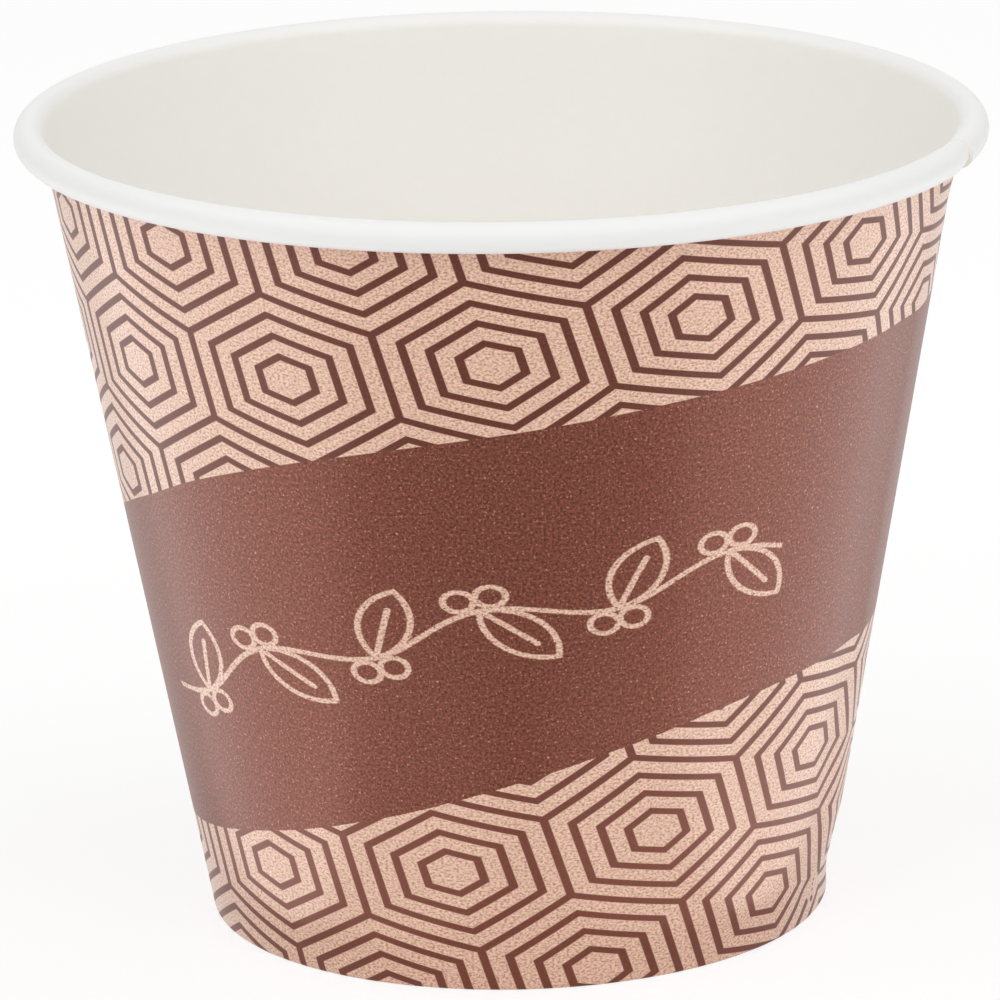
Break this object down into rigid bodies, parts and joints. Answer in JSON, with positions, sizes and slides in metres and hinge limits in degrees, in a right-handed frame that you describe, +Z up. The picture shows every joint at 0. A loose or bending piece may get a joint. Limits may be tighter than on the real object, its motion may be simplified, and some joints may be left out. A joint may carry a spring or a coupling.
{
  "type": "paper cup",
  "caption": "Squat single-wall paper cup with a rolled rim, lapped side seam, folded foot and recessed bottom, printed with nested hexagons and a slanting band.",
  "frame": {"origin": "centre of the foot, on the plane the cup stands on", "axes": "+Z up along the cup's axis, -Y towards the side seen in the picture, +X to the right of it"},
  "size_m": [0.08, 0.08, 0.0673],
  "materials": {
    "printed_board": "satin",
    "coated_board": "satin"
  },
  "bodies": {
    "root": {"side_wall": "printed_board", "bottom_disc": "coated_board"}
  },
  "joints": []
}
